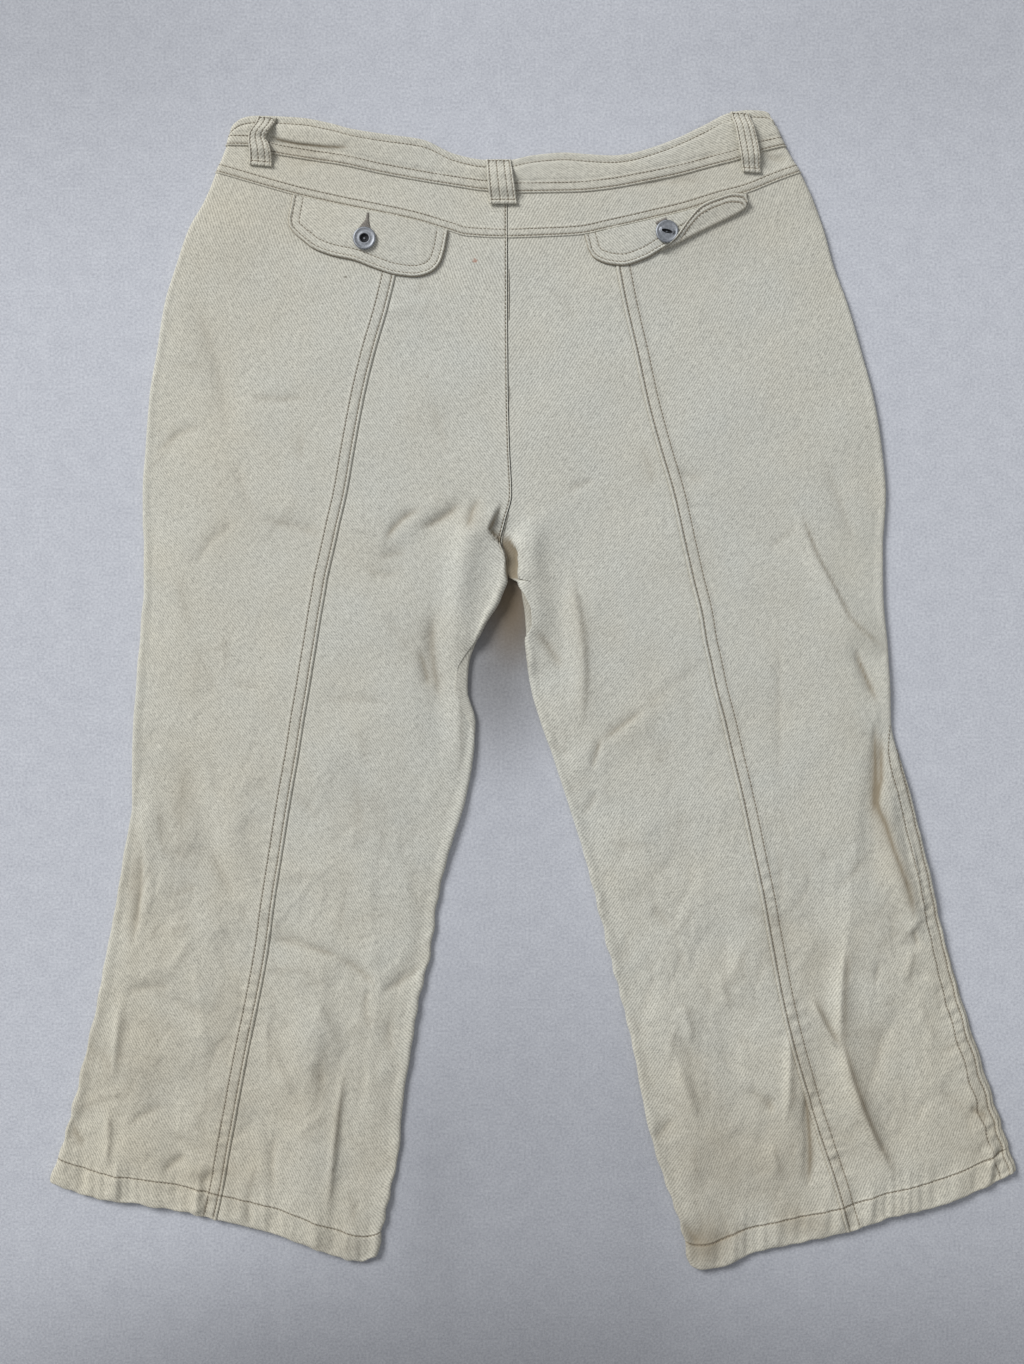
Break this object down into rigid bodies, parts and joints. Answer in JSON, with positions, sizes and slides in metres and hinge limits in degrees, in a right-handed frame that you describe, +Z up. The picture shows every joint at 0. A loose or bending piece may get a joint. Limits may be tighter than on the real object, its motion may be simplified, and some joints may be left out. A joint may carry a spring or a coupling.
{
  "type": "capri pants",
  "caption": "Cropped trousers in cream linen-cotton twill, laid flat back side up, with felled seams, belt loops and buttoned pocket flaps.",
  "frame": {"origin": "on the surface the garment lies on, under the middle of its box", "axes": "+Z up from the surface, +Y from the hems towards the waist, +X across towards the wearer's right leg"},
  "size_m": [0.7274, 0.8715, 0.0139],
  "materials": {
    "cloth": "linen-cotton twill, washed",
    "trim_cloth": "linen-cotton twill, pressed and topstitched",
    "button_metal": "aged zinc alloy, dull"
  },
  "bodies": {
    "root": {"back_panel_inner_left": "cloth", "back_panel_inner_right": "cloth", "back_panel_outer_left": "cloth", "back_panel_outer_right": "cloth", "front_panel_left": "cloth", "front_panel_right": "cloth", "yoke_left": "cloth", "yoke_right": "cloth", "waistband_back": "cloth", "waistband_front": "cloth", "belt_loop_left": "trim_cloth", "belt_loop_centre": "trim_cloth", "belt_loop_right": "trim_cloth", "pocket_flap_left": "trim_cloth", "pocket_flap_right": "trim_cloth", "button_left": "button_metal", "button_right": "button_metal"}
  },
  "joints": []
}
